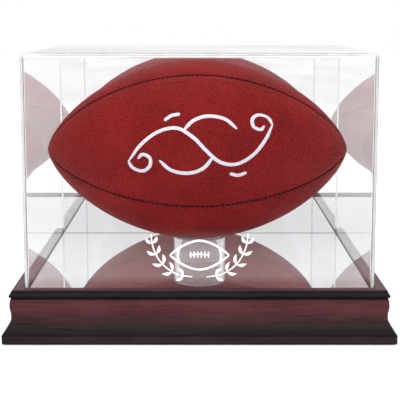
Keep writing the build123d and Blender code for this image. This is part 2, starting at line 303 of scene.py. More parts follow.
def pebbled_leather(name):
    """Tanned football leather: a pebbled print, with painted shade in the valleys and a little painted
    highlight on the pebble tops, and a waxy sheen.
    """
    s = Shader(name, IOR=1.45)
    s.surface.inputs["Specular IOR Level"].default_value = 0.12
    kind = {"feature": "SMOOTH_F1"}
    pebbles = s.add("TexVoronoi", kind, Vector=s.place(), Scale=PEBBLES, Smoothness=0.35)
    valley = s.ramp(pebbles.outputs["Distance"], [(0.12, 1.0), (0.4, 0.7), (0.62, 0.0)], True)
    cloud = s.noise(22.0, None, 3.0, 0.6)
    patch = s.noise(75.0, None, 3.0, 0.6)
    deep, middle, bright = tone(126, 17, 17), tone(134, 20, 20), tone(142, 25, 25)
    colour = s.ramp(cloud, [(0.34, deep), (0.5, middle), (0.66, bright)], True)
    colour = s.mix(0.25, colour, s.ramp(patch, [(0.35, 0.85), (0.65, 1.1)]), "MULTIPLY")
    # Painted shade: the valleys between the pebbles are darkened, and a painted highlight lightens their
    # tops a little.
    colour = s.mix(0.9, colour, s.ramp(valley, [(0.0, 0.5), (0.7, 0.97), (1.0, 1.08)]), "MULTIPLY")
    rough = s.span(valley, 0.0, 1.0, 0.62, 0.46)
    grain = s.noise(2600.0, None, 2.0)
    normal = s.bump(valley, 0.2 * MM, 0.9, s.bump(grain, 0.03 * MM, 0.4))
    return s.finish(Base_Color=colour, Roughness=rough, Normal=normal)


def silver_paint(name):
    """Paint pen, worn thin over the leather's valleys."""
    s = Shader(name, Metallic=0.15, IOR=1.45)
    pebbles = s.add("TexVoronoi", Vector=s.place(), Scale=PEBBLES, Randomness=0.75)
    grain = s.noise(1800.0, None, 3.0)
    colour = s.ramp(grain, [(0.35, tone(206, 204, 216)), (0.55, tone(232, 230, 240))])
    worn = s.ramp(pebbles.outputs["Distance"], [(0.45, 1.0), (0.8, 0.78)])
    colour = s.mix(1.0, colour, worn, "MULTIPLY")
    normal = s.bump(pebbles.outputs["Distance"], -0.12 * MM, 0.6)
    return s.finish(Base_Color=colour, Roughness=s.span(grain, 0.3, 0.7, 0.3, 0.5), Normal=normal)


def printed_white(name):
    """Screen-printed ink."""
    s = Shader(name)
    speckle = s.noise(1500.0, None, 2.0)
    colour = s.ramp(speckle, [(0.35, tone(236, 238, 240)), (0.6, tone(253, 253, 253))])
    return s.finish(Base_Color=colour, Roughness=s.span(speckle, 0.3, 0.7, 0.5, 0.7))


def thread(name, colour, pitch):
    """Twisted thread or woven lace."""
    s = Shader(name)
    s.surface.inputs["Specular IOR Level"].default_value = 0.15
    kind = {"bands_direction": "DIAGONAL"}
    wave = s.add("TexWave", kind, Vector=s.place(), Scale=1 / pitch, Distortion=1.5)
    weave = wave.outputs["Fac"]
    light = tuple(min(1.0, c) for c in shaded(colour, 1.1))
    shade = s.ramp(weave, [(0.2, shaded(colour, 0.72)), (0.7, light)])
    soft = s.noise(90.0, None, 3.0)
    shade = s.mix(0.5, shade, s.ramp(soft, [(0.4, 0.85), (0.6, 1.05)]), "MULTIPLY")
    s.surface.inputs["Roughness"].default_value = 0.75
    return s.finish(Base_Color=shade, Normal=s.bump(weave, 0.1 * MM, 0.6))


def rubber(name, colour):
    """Matt rubber, foam or film with a fine grain."""
    s = Shader(name)
    grain = s.noise(1200.0, None, 4.0)
    shade = s.ramp(grain, [(0.35, shaded(colour, 0.8)), (0.65, shaded(colour, 1.2))])
    rough = s.span(grain, 0.3, 0.7, 0.55, 0.75)
    return s.finish(Base_Color=shade, Roughness=rough, Normal=s.bump(grain, 0.05 * MM, 0.5))


def zinc_steel(name):
    """Yellow zinc-plated steel."""
    s = Shader(name, Metallic=1.0)
    turned = s.noise(900.0, None, 3.0)
    colour = s.ramp(turned, [(0.35, tone(150, 146, 128)), (0.6, tone(205, 200, 182))])
    rough = s.span(turned, 0.3, 0.7, 0.28, 0.48)
    return s.finish(Base_Color=colour, Roughness=rough, Normal=s.bump(turned, 0.02 * MM, 0.4))


def felt(name, colour):
    """Pressed felt."""
    s = Shader(name, Sheen_Weight=0.4, Sheen_Roughness=0.6)
    fibres = s.noise(1600.0, s.place((1, 1, 0.4)), 6.0, 0.75, 2.0)
    shade = s.ramp(fibres, [(0.3, shaded(colour, 0.5)), (0.7, shaded(colour, 1.6))])
    s.surface.inputs["Roughness"].default_value = 0.95
    return s.finish(Base_Color=shade, Normal=s.bump(fibres, 0.2 * MM, 0.8))


def plain_cloth(name, colour):
    """Plain-woven cotton."""
    s = Shader(name, Sheen_Weight=0.2)
    warp = s.add("TexWave", {"bands_direction": "X"}, Vector=s.place(), Scale=500.0)
    weft = s.add("TexWave", {"bands_direction": "Z"}, Vector=s.place(), Scale=500.0)
    weave = s.maths("MAXIMUM", warp.outputs["Fac"], weft.outputs["Fac"])
    shade = s.ramp(weave, [(0.4, shaded(colour, 0.7)), (1.0, colour)])
    s.surface.inputs["Roughness"].default_value = 0.9
    return s.finish(Base_Color=shade, Normal=s.bump(weave, 0.1 * MM, 0.5))


wood_x = stained_wood("mahogany_along_x", 0)
wood_y = stained_wood("mahogany_along_y", 1)
fibreboard = raw_wood("fibreboard", tone(170, 140, 108), tone(142, 112, 82), (300, 300, 300))
softwood = raw_wood("softwood", tone(208, 172, 124), tone(168, 126, 82), (30, 220, 220))
steel = zinc_steel("zinc_plated_steel")
pad_felt = felt("black_felt", tone(38, 38, 40))
tape = rubber("foam_tape", tone(222, 222, 216))
backing = rubber("mirror_backing_film", tone(96, 98, 104))
mirror = mirror_glass("mirror")
back_mirror = painted_back("back_mirror", back_mirror_face)
cover_acrylic = clear_acrylic("cover_acrylic", (0.985, 0.99, 0.995), 0.8, cover_high)
ring_acrylic = clear_acrylic("ring_acrylic", (0.985, 0.985, 0.99), 0.1)
leather = pebbled_leather("football_leather")
lining = plain_cloth("lining_cloth", tone(214, 206, 188))
bladder_rubber = rubber("bladder_rubber", tone(52, 50, 50))
valve_rubber = rubber("valve_rubber", tone(30, 29, 29))
seam_thread = thread("seam_thread", tone(24, 9, 9), 0.5 * MM)
# Painted shadow: the dark cord laid in each seam's groove.
seam_shadow_cord = thread("seam_shadow_cord", tone(96, 22, 22), 0.5 * MM)
lace_cord = thread("woven_lace", tone(232, 229, 220), 0.7 * MM)
hole_leather = rubber("lace_hole_edge", tone(54, 20, 18))
paint = silver_paint("silver_paint")
print_white = printed_white("printed_white")

# ---------------------------------------------------------------- mesh building


def piece(name, vertices, faces, material, body, smooth=None):
    """A mesh object that rides on a body. smooth is the angle above which edges stay sharp."""
    mesh = bpy.data.meshes.new(name)
    mesh.from_pydata([tuple(map(float, v)) for v in vertices], [], faces)
    work = bmesh.new()
    work.from_mesh(mesh)
    bmesh.ops.remove_doubles(work, verts=work.verts, dist=1e-6)
    bmesh.ops.recalc_face_normals(work, faces=work.faces)
    work.to_mesh(mesh)
    work.free()
    mesh.materials.append(material)
    made = bpy.data.objects.new(name, mesh)
    scene.collection.objects.link(made)
    if smooth is not None:
        shade_smooth(made, smooth)
    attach(made, body)
    return made


def shade_smooth(made, degrees):
    made.data.polygons.foreach_set("use_smooth", [True] * len(made.data.polygons))
    made.data.set_sharp_from_angle(angle=math.radians(degrees))
    weighted = made.modifiers.new("normals", "WEIGHTED_NORMAL")
    weighted.keep_sharp = True


def grid_faces(rows, columns, wrap_rows=False, wrap_columns=False, first=0):
    """Quads over a grid of points stored row by row."""
    faces = []
    for r in range(rows if wrap_rows else rows - 1):
        for c in range(columns if wrap_columns else columns - 1):
            this, following = first + r * columns, first + (r + 1) % rows * columns
            beside = (c + 1) % columns
            faces.append((this + c, this + beside, following + beside, following + c))
    return faces


def arc_points(centre, radius, start, end, steps):
    """Points of an arc in a plane, from one angle to another, in degrees."""
    angles = np.radians(np.linspace(start, end, steps + 1))
    return [(centre[0] + radius * math.cos(a), centre[1] + radius * math.sin(a)) for a in angles]


def arc_through(a, b, c, steps):
    """Points from a to c on the circle through a, b and c."""
    ax, ay, bx, by, cx, cy = *a, *b, *c
    d = 2 * (ax * (by - cy) + bx * (cy - ay) + cx * (ay - by))
    a2, b2, c2 = ax * ax + ay * ay, bx * bx + by * by, cx * cx + cy * cy
    ux = (a2 * (by - cy) + b2 * (cy - ay) + c2 * (ay - by)) / d
    uy = (a2 * (cx - bx) + b2 * (ax - cx) + c2 * (bx - ax)) / d
    start = math.atan2(ay - uy, ax - ux)
    middle = (math.atan2(by - uy, bx - ux) - start) % math.tau
    end = (math.atan2(cy - uy, cx - ux) - start) % math.tau
    if middle > end:
        end -= math.tau
    radius = math.hypot(ax - ux, ay - uy)
    angles = [start + end * n / steps for n in range(steps + 1)]
    return [(ux + radius * math.cos(a), uy + radius * math.sin(a)) for a in angles]


# ---------------------------------------------------------------- wooden mouldings
MITRE_GAP = 0.04  # mm, between a moulding's end and its mitre


def moulding_outline():
    """The moulding's section in mm: outward of the cover's face, and height."""
    outline = [(0.9, 45.5), (7.6, 45.5)]
    outline += arc_through((7.9, 45.48), (9.2, 44.9), (9.7, 43.5), 8)
    outline += arc_through((9.7, 43.5), (10.1, 42.4), (10.9, 41.9), 6)[1:]
    outline += arc_through((10.9, 41.9), (11.3, 40.4), (9.4, 38.7), 12)[1:]
    outline += [(9.4, 38.1)]
    outline += arc_through((10.1, 37.9), (10.85, 33.5), (10.25, 27.5), 14)
    outline += arc_through((10.25, 27.5), (9.75, 23.27), (10.7, 17.4), 12)[1:]
    outline += arc_through((10.7, 17.4), (13.05, 12.69), (16.3, 9.05), 12)[1:]
    outline += [(16.5, 8.75)]
    outline += arc_points((16.6, 8.2), 0.4, 90, 0, 4)
    outline += arc_points((16.2, 1.8), 0.8, 0, -90, 5)
    outline += [(-7.6, 1.0), (-8.0, 1.4), (-8.0, 29.6), (-7.6, 30.0), (0.6, 30.0), (0.6, 45.2)]
    return outline


def moulding(side, along, across, turn, material):
    """One mitred length. along and across are the cover's half sizes for that side."""
    outline = moulding_outline()
    stations = np.linspace(-1, 1, 9)
    spin = math.radians(turn)
    vertices = []
    for share in stations:
        for out, height in outline:
            x = share * (along + (out - MITRE_GAP) * MM)
            y = -(across + out * MM)
            turned_x = x * math.cos(spin) - y * math.sin(spin)
            turned_y = x * math.sin(spin) + y * math.cos(spin)
            vertices.append((turned_x, turned_y, height * MM))
    count = len(outline)
    faces = grid_faces(len(stations), count, wrap_columns=True)
    faces += [tuple(range(count))[::-1], tuple(range((len(stations) - 1) * count, len(stations) * count))]
    made = piece(f"moulding_{side}", vertices, faces, material, "base", 28)
    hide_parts(f"base_moulding_{side}")


half_x, half_y = cover_high.x, cover_high.y
moulding("front", half_x, half_y, 0, wood_x)
moulding("right", half_y, half_x, 90, wood_y)
moulding("back", half_x, half_y, 180, wood_x)
moulding("left", half_y, half_x, 270, wood_y)

# ---------------------------------------------------------------- cover and ring
COVER_WALL, COVER_OUTSIDE_ROUND, COVER_INSIDE_ROUND = 3.0 * MM, 4.0 * MM, 1.2 * MM
COVER_FOOT_EDGE = 0.35 * MM
RING_WALL, RING_EDGE = 4.0 * MM, 0.6 * MM


def rounded_loop(half_length, half_width, radius, steps):
    """Corners of a rounded rectangle, the same number of points for any radius."""
    points = []
    for sx, sy, start in ((1, 1, 0), (-1, 1, 90), (-1, -1, 180), (1, -1, 270)):
        centre = (sx * (half_length - radius), sy * (half_width - radius))
        points += arc_points(centre, radius, start, start + 90, steps)
    return points


def shell_loops(half_length, half_width, foot, top, radius, steps):
    """Loops from a box's foot up over its rounded top edge."""
    loops = []
    for height in np.linspace(foot, top - radius, 5):
        loops.append([(x, y, height) for x, y in rounded_loop(half_length, half_width, radius, steps)])
    for n in range(1, steps + 1):
        angle = math.pi / 2 * n / steps
        inset = radius * (1 - math.cos(angle))
        height = top - radius + radius * math.sin(angle)
        corner = max(radius - inset, 1e-5)
        points = rounded_loop(half_length - inset, half_width - inset, corner, steps)
        loops.append([(x, y, height) for x, y in points])
    return loops


def clear_cover():
    """The cover: a shell with rounded edges, open below."""
    steps, wall, foot_edge = 8, COVER_WALL, COVER_FOOT_EDGE
    middle = (cover_low + cover_high) / 2
    hx, hy = half_x - middle.x, half_y - middle.y
    foot, top = cover_low.z, cover_high.z
    outside = shell_loops(hx, hy, foot + foot_edge, top, COVER_OUTSIDE_ROUND, steps)
    ceiling = top - wall
    inside = shell_loops(hx - wall, hy - wall, foot + foot_edge, ceiling, COVER_INSIDE_ROUND, steps)
    feet = []
    for inset, radius in ((wall - foot_edge, 1.5 * MM), (foot_edge, 3.7 * MM)):
        feet.append([(x, y, foot) for x, y in rounded_loop(hx - inset, hy - inset, radius, steps)])
    loops = inside[::-1] + feet + outside
    count = len(loops[0])
    vertices = [(x + middle.x, y + middle.y, z) for loop in loops for x, y, z in loop]
    faces = grid_faces(len(loops), count, wrap_columns=True)
    faces.append(tuple(range(count)))
    faces.append(tuple(range((len(loops) - 1) * count, len(loops) * count)))
    made = piece("cover_shell", vertices, faces, cover_acrylic, "cover", 40)
    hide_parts("clear_cover")


def ring_stand():
    """A turned acrylic ring with rounded, polished edges."""
    outer, edge = (ring_high.x - ring_low.x) / 2, RING_EDGE
    inner, foot, top = outer - RING_WALL, ring_low.z, ring_high.z
    profile = arc_points((outer - edge, top - edge), edge, 90, 0, 5)
    profile += arc_points((outer - edge, foot + edge), edge, 0, -90, 5)
    profile += arc_points((inner + edge, foot + edge), edge, 270, 180, 5)
    profile += arc_points((inner + edge, top - edge), edge, 180, 90, 5)
    turns = 144
    vertices = []
    for n in range(turns):
        a = math.tau * n / turns
        vertices += [(r * math.cos(a), r * math.sin(a), z) for r, z in profile]
    faces = grid_faces(turns, len(profile), wrap_rows=True, wrap_columns=True)
    made = piece("ring_of_acrylic", vertices, faces, ring_acrylic, "base", 40)
    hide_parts("ring_stand")


clear_cover()
ring_stand()

# ---------------------------------------------------------------- football
PROFILE_WAIST, PROFILE_POINT = 1.9, 0.68  # exponents of the ball's outline
FIRST_SEAM, LACE_SEAM = -30.0, 150.0  # degrees up from the front
STITCH_PITCH = 4.5 * MM
STITCH_LONG, STITCH_WIDE, STITCH_HIGH = 1.25 * MM, 1.2 * MM, 0.6 * MM  # half sizes
STITCH_LIFT = -0.35 * MM
STITCH_END, LACE_CLEAR = 16 * MM, 56 * MM  # no stitches nearer the tips, or at the laces
SEAM_GROOVE, SEAM_REACH = 0.9 * MM, 0.9 * MM
# The dark cord in each seam is painted shadow of the groove.
SEAM_SHADOW_CORD, SHADOW_CORD_LIFT = 0.28 * MM, -0.62 * MM
SEAM_ROLL, SEAM_ROLL_REACH = 0.35 * MM, 5.0 * MM
LEATHER = 2.0 * MM
LACE_BARS, LACE_SPACING, LACE_HALF_LENGTH = 8, 12 * MM, 50.0


def ball_radius(x):
    """Radius of the ball's surface at x from its middle."""
    share = np.clip(np.abs(np.asarray(x, float)) / BALL_HALF, 0, 1)
    return BALL_RADIUS * (1 - share**PROFILE_WAIST) ** PROFILE_POINT


fine_x = BALL_HALF * np.cos(np.linspace(math.pi, 0, 4001))
fine_s = np.concatenate([[0], np.cumsum(np.hypot(np.diff(fine_x), np.diff(ball_radius(fine_x))))])
fine_s -= fine_s[-1] / 2


def x_at(s):
    """Place along the ball, from the distance over its surface from the middle."""
    return np.interp(s, fine_s, fine_x)


def slope_at(x):
    """The surface's outward normal at x, as (along the axis, away from it)."""
    dx = 0.05 * MM
    x = np.clip(x, -BALL_HALF + 2 * dx, BALL_HALF - 2 * dx)
    rise = (ball_radius(x + dx) - ball_radius(x - dx)) / (2 * dx)
    length = np.hypot(rise, 1)
    return -rise / length, 1 / length


def on_ball(x, degrees, lift=0.0):
    """A point on the ball, at an angle up from the front, lift above the leather."""
    along, away = slope_at(x)
    r = ball_radius(x) + lift * away
    a = math.radians(degrees)
    return ball_centre + Vector((x + lift * along, -r * math.cos(a), r * math.sin(a)))


def outward_at(x, degrees):
    return (on_ball(x, degrees, MM) - on_ball(x, degrees)).normalized()


def seam_depth(distance, s, radius):
    """How far the leather turns in, at a distance from a seam."""
    pucker = 1 + 0.25 * np.cos(math.tau * s / STITCH_PITCH)
    roll = SEAM_ROLL * np.exp(-((distance / SEAM_ROLL_REACH) ** 1.5)) * pucker
    groove = SEAM_GROOVE * np.exp(-((distance / SEAM_REACH) ** 2))
    return (roll + groove) * np.clip(radius / (14 * MM), 0, 1)


def ball_panel(name, start):
    """One leather panel between two seams, turned in along both, with its thickness."""
    rows, columns = 260, 45
    s = np.linspace(fine_s[0], fine_s[-1], rows)
    x = x_at(s)
    radius = ball_radius(x)
    across = np.sin(np.linspace(-math.pi / 2, math.pi / 2, columns))
    angles = start + 45 + 45 * across
    to_seam = np.radians(45 - np.abs(angles - start - 45))
    distance = radius[:, None] * to_seam[None, :]
    depth = seam_depth(distance, s[:, None], radius[:, None])
    outer = np.maximum(radius[:, None] - depth, 0)
    inner = np.maximum(radius[:, None] - LEATHER + np.zeros_like(depth), 0)
    inner_share = (BALL_HALF - 1.2 * LEATHER) / BALL_HALF
    vertices = []
    turn = np.radians(angles)[None, :]
    for r, share in ((outer, 1), (inner, inner_share)):
        xs = np.repeat(x[:, None], columns, 1) * share
        points = np.stack([xs, -r * np.cos(turn), r * np.sin(turn)], -1) + np.array(ball_centre)
        vertices.append(points.reshape(-1, 3))
    count = rows * columns
    faces = grid_faces(rows, columns)
    faces += [tuple(count + i for i in reversed(f)) for f in faces]
    for column in (0, columns - 1):
        for r in range(rows - 1):
            a, b = r * columns + column, (r + 1) * columns + column
            faces.append((a, b, count + b, count + a))
    made = piece(f"leather_{name}", np.concatenate(vertices), faces, leather, "ball", 60)
    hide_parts(f"ball_panel_{name}")


def seam_stitches():
    """Dark thread showing at each needle place along the four seams."""
    vertices, faces = [], []
    around, along = 8, 6
    most = math.floor((fine_s[-1] - STITCH_END) / STITCH_PITCH)
    for number in range(4):
        seam = FIRST_SEAM + 90 * number
        for s in np.arange(-most, most + 1) * STITCH_PITCH:
            if seam == LACE_SEAM and abs(s) < LACE_CLEAR:
                continue
            x = float(x_at(s))
            centre = on_ball(x, seam, STITCH_LIFT)
            forward = (on_ball(float(x_at(s + MM)), seam, STITCH_LIFT) - centre).normalized()
            normal = outward_at(x, seam)
            side = forward.cross(normal)
            first = len(vertices)
            for i in range(along + 1):
                lean = math.pi * i / along
                for j in range(around):
                    spin = math.tau * j / around
                    place = forward * (-math.cos(lean) * STITCH_LONG)
                    place += side * (math.sin(lean) * math.cos(spin) * STITCH_WIDE)
                    place += normal * (math.sin(lean) * math.sin(spin) * STITCH_HIGH)
                    vertices.append(centre + place)
            faces += grid_faces(along + 1, around, wrap_columns=True, first=first)
    piece("seam_stitches", vertices, faces, seam_thread, "ball", 80)


def seam_shadow_cords():
    """A dark cord in each seam, under the stitches: painted shadow, standing in for the shade in the seam's
    groove.
    """
    vertices, faces = [], []
    stations = np.linspace(fine_s[0] + 3 * MM, fine_s[-1] - 3 * MM, 200)
    around = 8
    for number in range(4):
        seam = FIRST_SEAM + 90 * number
        first = len(vertices)
        for s in stations:
            x = float(x_at(s))
            centre = on_ball(x, seam, SHADOW_CORD_LIFT)
            forward = (on_ball(float(x_at(s + MM)), seam, SHADOW_CORD_LIFT) - centre).normalized()
            normal = outward_at(x, seam)
            side = forward.cross(normal)
            for j in range(around):
                spin = math.tau * j / around
                vertices.append(centre + (side * math.cos(spin) + normal * math.sin(spin)) * SEAM_SHADOW_CORD)
        faces += grid_faces(len(stations), around, wrap_columns=True, first=first)
        faces.append(tuple(first + j for j in range(around)))
        faces.append(tuple(first + (len(stations) - 1) * around + j for j in reversed(range(around))))
    piece("seam_shadow_cords", vertices, faces, seam_shadow_cord, "ball", 80)


def strap(path, width, thickness, vertices, faces):
    """A flat lace with rounded edges along a path of (point, outward, sideways)."""
    first = len(vertices)
    outline = []
    for n in range(12):
        a = math.tau * n / 12
        c, s = math.cos(a), math.sin(a)
        w = width / 2 * math.copysign(abs(c) ** 0.6, c)
        h = thickness / 2 * math.copysign(abs(s) ** 0.8, s)
        outline.append((w, h))
    for point, outward, sideways in path:
        for w, h in outline:
            vertices.append(point + sideways * w + outward * h)
    count = len(outline)
    faces += grid_faces(len(path), count, wrap_columns=True, first=first)
    faces.append(tuple(first + i for i in range(count)))
    faces.append(tuple(first + (len(path) - 1) * count + i for i in reversed(range(count))))


def ball_laces():
    """Eight crosswise bars over a lengthwise double strand, and the holes they enter."""
    bars = [LACE_SPACING * (n - (LACE_BARS - 1) / 2) for n in range(LACE_BARS)]
    vertices, faces = [], []
    for x in bars:
        path = []
        for share in np.linspace(-1, 1, 25):
            end = min(1.0, (1 - abs(share)) * 7)
            lift = (-0.9 + (0.9 + 1.2 + 0.95 * (1 - share**2)) * math.sin(end * math.pi / 2)) * MM
            degrees = LACE_SEAM + 9.4 * share
            path.append((on_ball(x, degrees, lift), outward_at(x, degrees), Vector((1, 0, 0))))
        strap(path, 4.2 * MM, 1.3 * MM, vertices, faces)
    made = piece("lace_bars", vertices, faces, lace_cord, "ball", 50)
    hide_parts("ball_lace_bars")

    vertices, faces = [], []
    for side in (-1, 1):
        path = []
        for s in np.linspace(-LACE_HALF_LENGTH, LACE_HALF_LENGTH, 60) * MM:
            degrees = LACE_SEAM + side * 0.95
            x = float(x_at(s))
            forward = (on_ball(float(x_at(s + MM)), degrees) - on_ball(x, degrees)).normalized()
            outward = outward_at(x, degrees)
            end = min(1.0, (LACE_HALF_LENGTH - abs(s / MM)) / 4)
            path.append((on_ball(x, degrees, (-0.8 + 1.6 * end) * MM), outward, forward.cross(outward)))
        strap(path, 2.6 * MM, 1.2 * MM, vertices, faces)
    made = piece("lace_strands", vertices, faces, lace_cord, "ball", 50)
    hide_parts("ball_lace_strand")

    vertices, faces = [], []
    for x in bars:
        for side in (-1, 1):
            degrees = LACE_SEAM + side * 9.6
            centre, normal = on_ball(x, degrees, -0.1 * MM), outward_at(x, degrees)
            forward = Vector((1, 0, 0))
            across = normal.cross(forward)
            first, turns, around = len(vertices), 20, 8
            for i in range(turns):
                a = math.tau * i / turns
                out = forward * math.cos(a) + across * math.sin(a)
                for j in range(around):
                    b = math.tau * j / around
                    spot = out * ((2.5 + 0.5 * math.cos(b)) * MM) + normal * (0.35 * math.sin(b) * MM)
                    vertices.append(centre + spot)
            faces += grid_faces(turns, around, wrap_rows=True, wrap_columns=True, first=first)
    piece("lace_hole_rims", vertices, faces, hole_leather, "ball", 60)


for order, panel in enumerate(PANELS):
    ball_panel(panel, FIRST_SEAM + 90 * order)
seam_stitches()
seam_shadow_cords()
ball_laces()

# ---------------------------------------------------------------- painted and printed lines
FLOURISH_STRETCH, FLOURISH_SHIFT, FLOURISH_STROKE = (1.06, 1.08), (3, 8), 3.0
EMBLEM_ABOVE_FOOT = 33.9 * MM


def smooth_line(points, step):
    """A Catmull-Rom curve through the points, sampled about every step."""
    points = [np.array(p, float) for p in points]
    padded = [2 * points[0] - points[1], *points, 2 * points[-1] - points[-2]]
    line = []
    for p0, p1, p2, p3 in zip(padded, padded[1:], padded[2:], padded[3:]):
        count = max(2, int(np.linalg.norm(p2 - p1) / step))
        for n in range(count):
            t = n / count
            square = 2 * p0 - 5 * p1 + 4 * p2 - p3
            cube = 3 * p1 - p0 - 3 * p2 + p3
            line.append(0.5 * (2 * p1 + (p2 - p0) * t + square * t * t + cube * t**3))
    line.append(points[-1])
    return line


def ribbon(line, width, place, vertices, faces, taper=0.2, lift=0.12, sink=0.05, ends=0.12):
    """A low domed stroke along a flat line, put on a surface by place(u, v, lift), in mm."""
    first = len(vertices)
    count = len(line)
    half_section = ((0.5, 0.9 * lift), (0.92, 0.35 * lift), (1.0, -sink))
    section = [(-share, height) for share, height in half_section[::-1]]
    section += [(0.0, lift), *half_section]
    for n, point in enumerate(line):
        ahead = line[min(n + 1, count - 1)] - line[max(n - 1, 0)]
        ahead = ahead / max(np.linalg.norm(ahead), 1e-9)
        normal = np.array((-ahead[1], ahead[0]))
        end = min(n, count - 1 - n) / max(1.0, ends * count)
        half = width / 2 * (taper + (1 - taper) * math.sin(min(1.0, end) * math.pi / 2))
        for share, height in section:
            u, v = point + normal * half * share
            vertices.append(place(u, v, height))
    faces += grid_faces(count, len(section), wrap_columns=True, first=first)
    faces.append(tuple(first + i for i in range(len(section))))
    faces.append(tuple(first + (count - 1) * len(section) + i for i in reversed(range(len(section)))))


def painted_flourish():
    """A scrollwork ornament in silver paint on the front panel, as strokes in mm."""

    def place(u, v, height):
        along = (FLOURISH_STRETCH[0] * u + FLOURISH_SHIFT[0]) * MM
        up = (FLOURISH_STRETCH[1] * v + FLOURISH_SHIFT[1]) * MM
        return on_ball(along, math.degrees(up / BALL_RADIUS), height * MM)

    wave = [(-60, -9), (-50, 6), (-36, 17), (-20, 20), (-6, 12), (4, 2)]
    wave += [(16, -8), (30, -10), (44, -2), (54, 12), (60, 27)]
    curl = [(-60, -9), (-56, -15), (-48, -17), (-42, -12), (-42, -5), (-48, -2), (-52, -6)]
    end = [(60, 27), (56, 34), (48, 35), (43, 30), (44, 23), (50, 21), (53, 25)]
    leaf_up = [(-14, 18), (-6, 26), (6, 30), (20, 28), (30, 20)]
    leaf_down = [(10, -4), (2, -13), (-10, -17), (-24, -15), (-34, -7)]
    dash_up = [(-30, 27), (-24, 31), (-17, 32)]
    dash_down = [(24, -18), (31, -20), (38, -18)]
    vertices, faces = [], []
    for stroke in (wave, curl, end, leaf_up, leaf_down, dash_up, dash_down):
        ribbon(smooth_line(stroke, 0.8), FLOURISH_STROKE, place, vertices, faces, 0.45, 0.16)
    piece("painted_flourish", vertices, faces, paint, "ball", 60)


def laurel(side):
    """Half a laurel wreath: a stem and its leaves, as (points, width, ends) in mm."""
    stem = [(side * x, y) for x, y in ((6, -19), (20, -16), (32, -7), (39, 6), (41, 18))]
    strokes = [(stem, 1.2, 0.12)]
    for t, reach in ((0.14, 8.0), (0.32, 9.0), (0.5, 9.0), (0.68, 8.5), (0.86, 7.5)):
        line = smooth_line(stem, 0.5)
        spot = line[int(t * (len(line) - 1))]
        ahead = line[min(int(t * (len(line) - 1)) + 2, len(line) - 1)] - spot
        heading = math.atan2(ahead[1], ahead[0])
        for lean in (-0.75, 0.75):
            c, s = math.cos(heading + lean), math.sin(heading + lean)
            tip = spot + reach * np.array((c, s))
            bow = 0.12 * reach * math.copysign(1, lean) * np.array((-s, c))
            strokes.append(([spot, (spot + tip) / 2 + bow, tip], 3.0, 0.5))
    return strokes


def printed_emblem():
    """A football between laurel sprays, printed in white on the cover's front."""
    centre_z, face = cover_low.z + EMBLEM_ABOVE_FOOT, cover_low.y

    def place(u, v, height):
        return Vector((u * MM, face - height * MM, centre_z + v * MM))

    half, rise = 25.0, 12.5
    top = [(half * t, rise * (1 - abs(t) ** 1.8)) for t in np.linspace(-1, 1, 17)]
    strokes = [(top, 1.9, 0.12), ([(x, -y) for x, y in top], 1.9, 0.12)]
    strokes.append(([(-9, 0), (0, 0.8), (9, 0)], 1.2, 0.12))
    for x in (-7.5, -4.5, -1.5, 1.5, 4.5, 7.5):
        strokes.append(([(x, -2.4), (x, 0.6), (x, 3.2)], 1.1, 0.12))
    for side in (-1, 1):
        x = side * 17.0
        strokes.append(([(x, -6.6), (x + side * 1.4, 0), (x, 6.6)], 1.5, 0.12))
        strokes += laurel(side)
    vertices, faces = [], []
    for stroke, width, ends in strokes:
        taper = 0.05 if ends > 0.3 else 0.7
        ribbon(smooth_line(stroke, 0.5), width, place, vertices, faces, taper, 0.08, 0.02, ends)
    piece("printed_emblem", vertices, faces, print_white, "cover", 60)


painted_flourish()
printed_emblem()

# ---------------------------------------------------------------- nodes that stay as they are
KEPT = {
    "base_board": fibreboard,
    "corner_blocks": softwood,
    "corner_block_screws": steel,
    "felt_pads": pad_felt,
    "mirror_tape_strips": tape,
    "mirror_film": backing,
    "mirror_sheet": mirror,
    "back_mirror_sheet": back_mirror,
    "back_mirror_tapes": tape,
    "ball_bladder": bladder_rubber,
    "ball_valve": valve_rubber,
    **{f"ball_lining_{name}": lining for name in PANELS},
}
for name, material in KEPT.items():
    node = frame["nodes"][name]
    node.data.materials.clear()
    node.data.materials.append(material)

# ---------------------------------------------------------------- floor, light and camera
LOW_DARK, ROUND_BRIGHT = 0.03, 1.0  # the world as a light: low in front, and elsewhere
# FLOOR_GLOSS is the floor's painted dark tone in the cover's outside reflections.
FLOOR_GLOSS = 0.03  # the floor where the cover's outside reflects it
FLOOR_REACH = 6.0
CAMERA_PLACE, CAMERA_PITCH = (0.0, -0.97683, 0.27479), 7.974  # metres, degrees down
CAMERA_LENS, CAMERA_SHIFT = 93.28, (0.00125, -0.1)
BALL_LIGHT_TARGET = (0, 0, 0.14)


